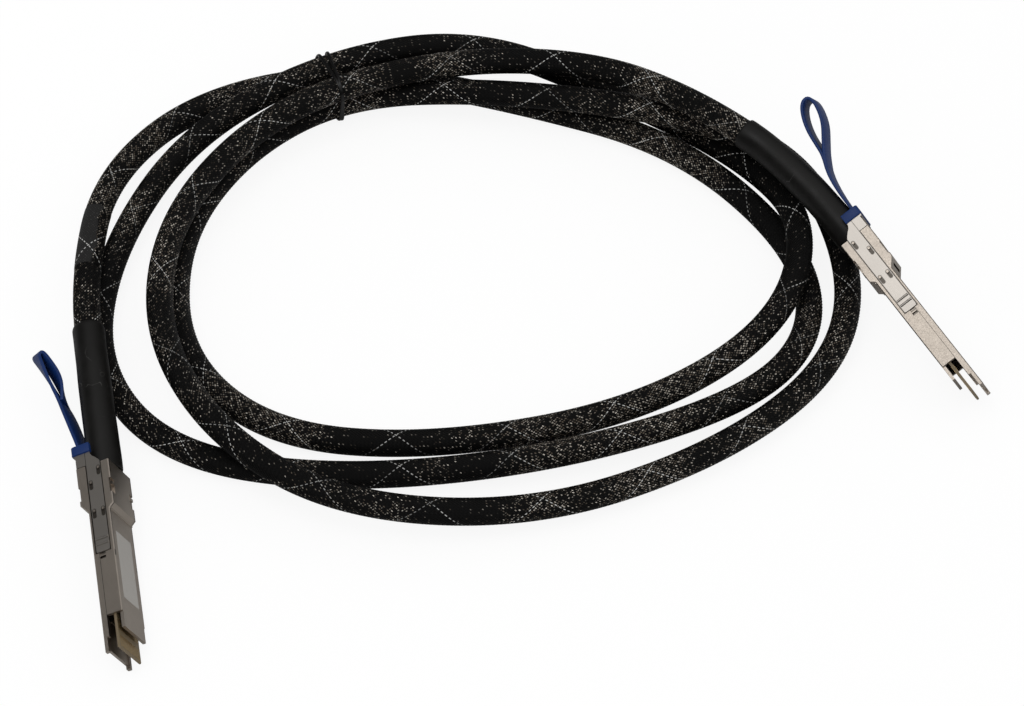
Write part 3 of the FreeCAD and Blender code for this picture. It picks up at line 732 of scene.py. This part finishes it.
dot = w.times(w.ramp(w.size(across), *DOT_EDGES), w.ramp(w.size(along), *DOT_EDGES))
for label, value in (("Height", height), ("Glint", glint), ("Tone", shades.outputs[2]),
                     ("Tracer", tracer), ("Dot", dot)):
    w.put(gout.inputs[label], value)
print("plait group", len(plait.nodes), "nodes")

# %% Grain and scuff groups
BROAD_SHARE = 0.06      # the broad pattern has this share of the fine one's blots
grain, w, gin, gout = group("grain", [("Place", VECTOR, None), ("Size", FLOAT, 1000.0)],
                            [("Fine", FLOAT), ("Broad", FLOAT)])
w.put(gout.inputs["Fine"], w.noise(gin.outputs["Place"], gin.outputs["Size"], 3.0, 0.6))
broad_size = w.times(gin.outputs["Size"], BROAD_SHARE)
w.put(gout.inputs["Broad"], w.noise(gin.outputs["Place"], broad_size, 2.0))

scuffs, w, gin, gout = group("scuffs", [("Place", VECTOR, None), ("Spread", FLOAT, 60.0)],
                             [("Mark", FLOAT)])
bent = w.noise(gin.outputs["Place"], gin.outputs["Spread"], 3.0, 0.55)
line_mark = w.ramp(w.size(w.minus(bent, 0.5)), 0.006, 0.002)
some = w.ramp(w.noise(gin.outputs["Place"], 95.0, 1.0), 0.60, 0.66)
w.put(gout.inputs["Mark"], w.times(line_mark, some))
print("grain and scuffs ready")


# %% New finish
def finish(name, base, metallic, roughness, specular=0.5):
    """A Principled material; returns it with its wiring and shader."""
    material = bpy.data.materials.new(name)
    material.use_nodes = True
    shader = material.node_tree.nodes["Principled BSDF"]
    shader.inputs["Base Color"].default_value = colour(*base)
    shader.inputs["Metallic"].default_value = metallic
    shader.inputs["Roughness"].default_value = roughness
    shader.inputs["Specular IOR Level"].default_value = specular
    return material, Wiring(material.node_tree), shader


def use(w, tree, values):
    """A group placed in a material."""
    made = w.node("ShaderNodeGroup", node_tree=tree)
    for key, value in values.items():
        w.put(made.inputs[key], value)
    return made


def object_place(w):
    """The surface point in the piece's own frame, in metres."""
    return w.node("ShaderNodeTexCoord").outputs["Object"]


def grained(w, size):
    """The grain group placed on the surface, with this many blots to the metre."""
    return use(w, grain, {"Place": object_place(w), "Size": size}).outputs


def bump(w, shader, height, distance):
    """Small relief in the finish alone, this many metres high."""
    made = w.node("ShaderNodeBump", {"Height": height, "Distance": distance, "Strength": 1.0})
    w.put(shader.inputs["Normal"], made.outputs[0])


def tint(w, shader, pattern, dark, light):
    """A base colour that follows a pattern from dark to light."""
    w.put(shader.inputs["Base Color"], w.mix(pattern, colour(*dark), colour(*light)))


def vary_roughness(w, shader, pattern, low, high):
    """A roughness that follows a pattern from low to high."""
    w.put(shader.inputs["Roughness"], w.ramp(pattern, 0.3, 0.7, low, high))


print("finish helpers ready")

# %% [markdown]
# The sleeve is black monofilament over a metal-foil screen. Short painted highlights sit on
# the crown of the upper strand at each crossing, partly metallic so that they also take the
# lamp's light, more of them in some lengths than in others, and one white tracer filament
# in each hand draws a dashed line that crosses the other.

# %% Sleeve finish
BLACK_THREAD = (0.0022, 0.0021, 0.0020)
WHITE_THREAD = (0.72, 0.72, 0.70)
# colours of the painted highlights, dim to bright, and how metallic they are
HIGHLIGHT_DARK, HIGHLIGHT_LIGHT = (0.16, 0.13, 0.10), (1.0, 0.93, 0.82)
HIGHLIGHT_METALLIC = 0.4
PATCHES, TRACER_PATCHES = 26.0, 46.0     # blots to the metre


def weave_cells(w):
    """The place in the weave, in cells."""
    return w.node("ShaderNodeUVMap", uv_map="weave").outputs[0]


def woven(w, cells):
    """Black thread, painted highlights on the strands' crowns, and the tracer filaments."""
    weave = use(w, plait, {"Cell": cells})
    place = object_place(w)
    # where the painted highlights show on the strand crowns, fewer in some lengths than others
    bare = w.ramp(w.noise(place, PATCHES, 2.0), 0.38, 0.64, 0.80, 0.22)
    glint_shown = w.ramp(weave.outputs["Glint"], bare, w.plus(bare, 0.30))
    # the painted highlight's colour, from dim to bright
    foil = w.mix(w.math("POWER", weave.outputs["Tone"], 2.4), colour(*HIGHLIGHT_DARK), colour(*HIGHLIGHT_LIGHT))
    faded = w.ramp(w.noise(place, TRACER_PATCHES, 1.0), 0.40, 0.54, 0.35, 1.0)
    traced = w.times(weave.outputs["Tracer"], faded)
    woven_colour = w.mix(glint_shown, colour(*BLACK_THREAD), foil)
    return weave.outputs, w.mix(traced, woven_colour, colour(*WHITE_THREAD)), glint_shown, traced


sleeve_finish, w, shader = finish("woven sleeve", BLACK_THREAD, 0.0, 0.42, 0.16)
weave, thread_colour, glint_shown, traced = woven(w, weave_cells(w))
w.put(shader.inputs["Base Color"], thread_colour)
glint_metallic = w.times(glint_shown, HIGHLIGHT_METALLIC)
w.put(shader.inputs["Metallic"], w.times(glint_metallic, w.minus(1.0, traced)))
w.put(shader.inputs["Roughness"], w.blend(glint_shown, 0.45, 0.34))
bump(w, shader, weave["Height"], 0.16 * MM)
for piece in sleeves:
    piece.data.materials.append(sleeve_finish)
print(sleeve_finish.name, len(sleeve_finish.node_tree.nodes), "nodes")

# %% [markdown]
# Over most of the way round the cord the tape under the sleeve takes the place of the painted
# highlights. Its two edges are ragged, and the threads over it show painted highlights as faint dots.

# %% Wrap finish
TAPE_DARK, DOT_HIGHLIGHT = (0.024, 0.0235, 0.023), (0.09, 0.088, 0.085)
TAPE_FIRST, TAPE_LAST = (0.10 * STRANDS, 0.12 * STRANDS), (0.84 * STRANDS, 0.82 * STRANDS)
wrap_finish, w, shader = finish("taped sleeve", (0.026, 0.0255, 0.025), 0.0, 0.5, 0.12)
cells = weave_cells(w)
weave, thread_colour, glint_shown, traced = woven(w, cells)
# painted highlights of the threads over the tape, as faint light dots
painted_dots = w.times(weave["Dot"], w.ramp(weave["Tone"], 0.5, 1.0, 0.1, 0.9))
tape = w.mix(painted_dots, colour(*TAPE_DARK), colour(*DOT_HIGHLIGHT))
tape = w.mix(traced, tape, colour(*WHITE_THREAD))
around = w.node("ShaderNodeSeparateXYZ", {0: cells}).outputs[0]
ragged = w.times(w.minus(w.noise(object_place(w), 160.0, 3.0), 0.5), 0.19 * STRANDS)
edge = w.plus(around, ragged)
taped = w.times(w.ramp(edge, *TAPE_FIRST), w.ramp(edge, *TAPE_LAST))
w.put(shader.inputs["Base Color"], w.mix(taped, thread_colour, tape))
w.put(shader.inputs["Metallic"], w.times(w.minus(1.0, taped), w.times(glint_shown, HIGHLIGHT_METALLIC)))
bump(w, shader, weave["Height"], 0.10 * MM)
wrap.data.materials.append(wrap_finish)

# %% Core finish
core_finish, w, shader = finish("foil under the sleeve", (0.004, 0.004, 0.004), 0.0, 0.5, 0.15)
speck = w.noise(object_place(w), 900.0, 2.0)
tint(w, shader, speck, (0.003, 0.003, 0.003), (0.010, 0.009, 0.008))
cord.data.materials.append(core_finish)

# %% Boot finish
TUBE_DARK, TUBE_LIGHT = (0.0045, 0.0042, 0.0038), (0.0098, 0.0091, 0.0082)
SCUFFED = (0.09, 0.088, 0.085)
boot_finish, w, shader = finish("shrink tube", (0.007, 0.0065, 0.0058), 0.0, 0.42, 0.30)
texture = grained(w, 2200.0)
marks = use(w, scuffs, {"Place": object_place(w), "Spread": 70.0})
tube_colour = w.mix(texture["Broad"], colour(*TUBE_DARK), colour(*TUBE_LIGHT))
worn = w.times(marks.outputs["Mark"], 0.5)
w.put(shader.inputs["Base Color"], w.mix(worn, tube_colour, colour(*SCUFFED)))
vary_roughness(w, shader, texture["Broad"], 0.38, 0.52)
bump(w, shader, texture["Fine"], 0.04 * MM)
for piece in boots:
    piece.data.materials.append(boot_finish)

# %% Tie finish
tie_finish, w, shader = finish("tie coat", (0.003, 0.003, 0.003), 0.0, 0.22, 0.4)
texture = grained(w, 700.0)
vary_roughness(w, shader, texture["Fine"], 0.18, 0.28)
tint(w, shader, texture["Broad"], (0.003, 0.003, 0.003), (0.006, 0.0058, 0.0056))
bump(w, shader, texture["Fine"], 0.03 * MM)
for piece in ties:
    piece.data.materials.append(tie_finish)

# %% Pull tab finish
pull_finish, w, shader = finish("blue elastomer", (0.006, 0.031, 0.145), 0.0, 0.42, 0.32)
texture = grained(w, 1500.0)
tint(w, shader, texture["Broad"], (0.005, 0.026, 0.125), (0.008, 0.038, 0.170))
vary_roughness(w, shader, texture["Fine"], 0.36, 0.48)
bump(w, shader, texture["Fine"], 0.03 * MM)
for letter in places:
    item = bpy.data.objects["pull_tab_soft_" + letter]
    item.data.materials.clear()
    item.data.materials.append(pull_finish)

# %% [markdown]
# The shells are die-cast and plated, with a fine even grain and slow changes of shine.
# The slider is stamped sheet, brushed along the plug. Brushing and the painted shade in the
# seams, gaps and recesses are placed in the plug's own frame, so each plug has its own copy of
# both finishes.

# %% Tones of the metal, and places in millimetres in the plug's own frame
POSTS = ((-17.6, 5.9), (-12.1, 2.3), (0.1, 2.3), (0.1, 5.9))
POST_RING = (0.92, 0.80)
TRAVEL = 2.5
CHANNEL_BAND = (1.0, 7.1)
CHANNEL_FRONT = 18.2
PARTING_Z = 2.4
SIDE_FACE = (8.2, 8.3)           # this far out from the middle the plug's sides begin
CHANNEL_FLOOR = (8.64, 8.58)
POCKET_FLOOR = (9.0, 8.9)
POCKET_REAR, POCKET_FRONT = (18.4, 18.5), (20.9, 20.8)
CHANNEL_LINE, PARTING_LINE, FINGER_LINE = 0.22, 0.14, 0.16
FINGER_GAP = 0.2
BRUSH_SCALE = (0.06, 0.001, 3.8)
CAST_DARK, CAST_LIGHT = (0.46, 0.405, 0.35), (0.60, 0.535, 0.465)
# painted shade for the shells' seams, channel floor and pocket
CAST_SHADE = (0.05, 0.045, 0.04)
SHEET_DARK, SHEET_LIGHT = (0.46, 0.43, 0.395), (0.57, 0.53, 0.485)
# painted shade round the slider's slots and along its finger gaps
SHEET_SHADE = (0.06, 0.055, 0.05)


# %% Metal finishes
def plug_coordinates(w, plug):
    """A surface point in the plug's own frame, in millimetres."""
    inverse = plug_place(*plug).inverted()
    origin = Vector(plug[:3]) * MM
    offset = w.node("ShaderNodeVectorMath", {0: object_place(w), 1: origin}, operation="SUBTRACT")
    turned = w.node("ShaderNodeMapping", {"Vector": offset.outputs[0], "Rotation": inverse.to_euler()[:],
                                          "Scale": (1.0, 1.0, 1.0)})
    scaled = w.node("ShaderNodeVectorMath", {0: turned.outputs[0], "Scale": 1.0 / MM}, operation="SCALE")
    return scaled.outputs[0]


def narrow_line(w, value, where, half):
    """A soft line, up to half to either side of where."""
    return w.ramp(w.size(w.minus(value, where)), half, half * 0.4)


def cast_metal(name, plug):
    """Plated casting with a soft grain, and painted shade in its seams, channel floor and pocket."""
    material, w, shader = finish(name, (0.50, 0.455, 0.405), 1.0, 0.36)
    x, y, z = w.node("ShaderNodeSeparateXYZ", {0: plug_coordinates(w, plug)}).outputs
    texture = grained(w, 1900.0)
    metal = w.mix(texture["Broad"], colour(*CAST_DARK), colour(*CAST_LIGHT))
    rear = w.ramp(x, CHANNEL_FRONT + 0.1, CHANNEL_FRONT)
    edges = w.larger(*(narrow_line(w, z, edge, CHANNEL_LINE) for edge in CHANNEL_BAND))
    seam = w.times(narrow_line(w, z, PARTING_Z, PARTING_LINE), w.minus(1.0, rear))
    out = w.size(y)
    at_side = w.ramp(out, *SIDE_FACE)
    lines = w.times(w.larger(w.times(edges, rear), seam), at_side)
    channel_floor = w.times(w.ramp(out, *CHANNEL_FLOOR), rear)
    pocket_length = w.times(w.ramp(x, *POCKET_REAR), w.ramp(x, *POCKET_FRONT))
    pocket = w.times(w.ramp(out, *POCKET_FLOOR), pocket_length)
    sunk = w.times(w.larger(channel_floor, pocket), at_side)
    # painted shade where the seams, the channel floor and the pocket fall in shadow
    shade = w.larger(w.times(lines, 0.8), w.times(sunk, 0.85))
    w.put(shader.inputs["Base Color"], w.mix(shade, metal, colour(*CAST_SHADE)))
    vary_roughness(w, shader, texture["Fine"], 0.30, 0.44)
    bump(w, shader, texture["Fine"], 0.035 * MM)
    return material


def brushed_metal(name, plug):
    """Stamped sheet brushed along the plug, with painted shade round each slot and along the finger gaps.
    """
    material, w, shader = finish(name, (0.48, 0.455, 0.43), 1.0, 0.34)
    local = plug_coordinates(w, plug)
    x, _, z = w.node("ShaderNodeSeparateXYZ", {0: local}).outputs
    stretched = w.node("ShaderNodeMapping", {"Vector": local, "Scale": BRUSH_SCALE})
    streaks = w.noise(stretched.outputs[0], 1.0, 2.0, 0.6)
    texture = grained(w, 1200.0)
    metal = w.mix(texture["Broad"], colour(*SHEET_DARK), colour(*SHEET_LIGHT))
    shade = 0.0
    # painted shade round each post's slot, and along the gaps beside the slider's fingers
    for post_x, post_z in POSTS:
        middle = w.size(w.minus(x, post_x + TRAVEL / 2))
        past_end = w.larger(w.minus(middle, TRAVEL / 2), 0.0)
        flat = w.node("ShaderNodeCombineXYZ", {0: past_end, 1: w.minus(z, post_z)})
        from_slot = w.node("ShaderNodeVectorMath", {0: flat.outputs[0]}, operation="LENGTH")
        ring = w.ramp(from_slot.outputs["Value"], *POST_RING)
        shade = w.larger(shade, w.times(ring, 0.6))
    for edge, inward in zip(CHANNEL_BAND, (FINGER_GAP, -FINGER_GAP)):
        shade = w.larger(shade, narrow_line(w, z, edge + inward, FINGER_LINE))
    w.put(shader.inputs["Base Color"], w.mix(w.times(shade, 0.85), metal, colour(*SHEET_SHADE)))
    vary_roughness(w, shader, streaks, 0.335, 0.350)
    bump(w, shader, texture["Fine"], 0.003 * MM)
    return material


def speckled(name, dark, light, metallic, roughness, size, depth):
    """A plain finish with a fine speckle between two colours."""
    material, w, shader = finish(name, light, metallic, roughness)
    texture = grained(w, size)
    tint(w, shader, texture["Fine"], dark, light)
    vary_roughness(w, shader, texture["Broad"], roughness - 0.05, roughness + 0.06)
    bump(w, shader, texture["Fine"], depth * MM)
    return material


SMALL_PARTS = (     # piece, finish, dark, light, metallic, roughness, blots to the metre, relief in mm
    ("shell_screws", "screw steel", (0.35, 0.34, 0.33), (0.5, 0.49, 0.47), 1.0, 0.32, 1500.0, 0.01),
    ("return_springs", "spring wire", (0.5, 0.5, 0.5), (0.65, 0.65, 0.64), 1.0, 0.25, 2500.0, 0.005),
    ("paddle_card", "card laminate", (0.13, 0.095, 0.05), (0.26, 0.20, 0.12), 0.0, 0.45, 1800.0, 0.01),
    ("card_contacts", "contact gold", (0.42, 0.30, 0.14), (0.58, 0.43, 0.22), 1.0, 0.24, 2500.0, 0.003),
    ("twinax_leads", "lead foil", (0.55, 0.55, 0.57), (0.72, 0.72, 0.75), 0.0, 0.35, 2000.0, 0.01),
    ("potting_block", "potting", (0.07, 0.07, 0.07), (0.11, 0.11, 0.11), 0.0, 0.6, 900.0, 0.05),
    ("crimp_ferrule", "tinned crimp", (0.52, 0.47, 0.36), (0.66, 0.60, 0.47), 1.0, 0.35, 1500.0, 0.01),
    ("rating_label", "bare label", (0.42, 0.40, 0.37), (0.48, 0.46, 0.43), 0.0, 0.42, 1300.0, 0.006))
plugs = {"a": PLUG_A, "b": PLUG_B}
shell_finish = {letter: cast_metal("plated casting " + letter, plug) for letter, plug in plugs.items()}
small_finish = {part: speckled(*row) for part, *row in SMALL_PARTS}
slider_finish = {letter: brushed_metal("brushed slider " + letter, plug) for letter, plug in plugs.items()}
print("metals ready")

# %% Finishes on the frame's own pieces
for name, item in nodes.items():
    part, letter = name[:-2], name[-1]
    if part in ("bottom_shell", "top_shell"):
        material = shell_finish[letter]
    elif part == "latch_slider":
        material = slider_finish[letter]
    elif part in small_finish:
        material = small_finish[part]
    else:
        continue
    for slot in item.material_slots:
        slot.material = material
    if not item.material_slots:
        item.data.materials.append(material)
print("frame pieces finished")

# %% [markdown]
# ## Floor and light
# The floor is pale and plain. Seen by the camera it is nearly its own even white, and
# the rest of it takes real light, so that a soft shadow stays. One broad lamp hangs
# overhead, a little to the left. The world gives the even light all round, and what
# polished metal reflects is brighter overhead than at the sides, as in a small studio.

# %% Floor
FLOOR_TONE = (0.93, 0.93, 0.93)
FLOOR_IN_METAL = (0.48, 0.48, 0.48)
FLOOR_GLOW = 1.06
GLOW_SHARE = 0.84
bpy.ops.object.select_all(action="DESELECT")
bpy.ops.mesh.primitive_plane_add(size=8.0, location=(0, 0, -0.0001))
floor = bpy.context.object
floor.name = "floor"
floor_finish, w, shader = finish("pale floor", FLOOR_TONE, 0.0, 0.9, 0.1)
light_path = w.node("ShaderNodeLightPath").outputs
tint(w, shader, light_path["Is Glossy Ray"], FLOOR_TONE, FLOOR_IN_METAL)
plain_white = w.node("ShaderNodeEmission", {"Color": colour(1.0, 1.0, 1.0), "Strength": FLOOR_GLOW})
floor_mix = w.node("ShaderNodeMixShader", {"Fac": w.times(light_path["Is Camera Ray"], GLOW_SHARE)})
w.put(floor_mix.inputs[1], shader.outputs[0])
w.put(floor_mix.inputs[2], plain_white.outputs[0])
w.put(floor_finish.node_tree.nodes["Material Output"].inputs[0], floor_mix.outputs[0])
floor.data.materials.append(floor_finish)

# %% World
EVEN_LIGHT = 0.62
STUDIO_HEIGHTS, STUDIO_LIGHT = (0.45, 1.0), (0.05, 0.72)
STUDIO_LEAN = 0.25
world = bpy.data.worlds.new("studio")
bpy.context.scene.world = world
world.use_nodes = True
w = Wiring(world.node_tree)
world.node_tree.nodes.clear()
light_path = w.node("ShaderNodeLightPath").outputs
heading = w.node("ShaderNodeSeparateXYZ", {0: w.node("ShaderNodeTexCoord").outputs["Generated"]})
lift = w.plus(heading.outputs[2], w.times(heading.outputs[0], STUDIO_LEAN))
studio = w.ramp(lift, *STUDIO_HEIGHTS, *STUDIO_LIGHT)
seen_white = w.larger(light_path["Is Camera Ray"], light_path["Is Transmission Ray"])
level = w.blend(seen_white, w.blend(light_path["Is Glossy Ray"], EVEN_LIGHT, studio), 1.0)
background = w.node("ShaderNodeBackground", {"Color": colour(1.0, 1.0, 1.0), "Strength": level})
w.node("ShaderNodeOutputWorld", {"Surface": background.outputs[0]})


# %% Lamps
def lamp(name, place, aim, size, power):
    """A square lamp of this size in metres and power in watts, turned to its aim."""
    data = bpy.data.lights.new(name, "AREA")
    data.shape = "SQUARE"
    data.size = size
    data.energy = power
    item = bpy.data.objects.new(name, data)
    item.location = place
    item.rotation_euler = (Vector(place) - Vector(aim)).to_track_quat("Z", "Y").to_euler()
    bpy.context.scene.collection.objects.link(item)
    print(name, "radiance", round(power / (math.pi * size * size), 2))


lamp("overhead", place=(-0.34, -0.02, 1.0), aim=(0.05, 0.03, 0.0), size=0.55, power=1.45)

# %% Finish
bpy.context.scene.view_settings.view_transform = "Standard"
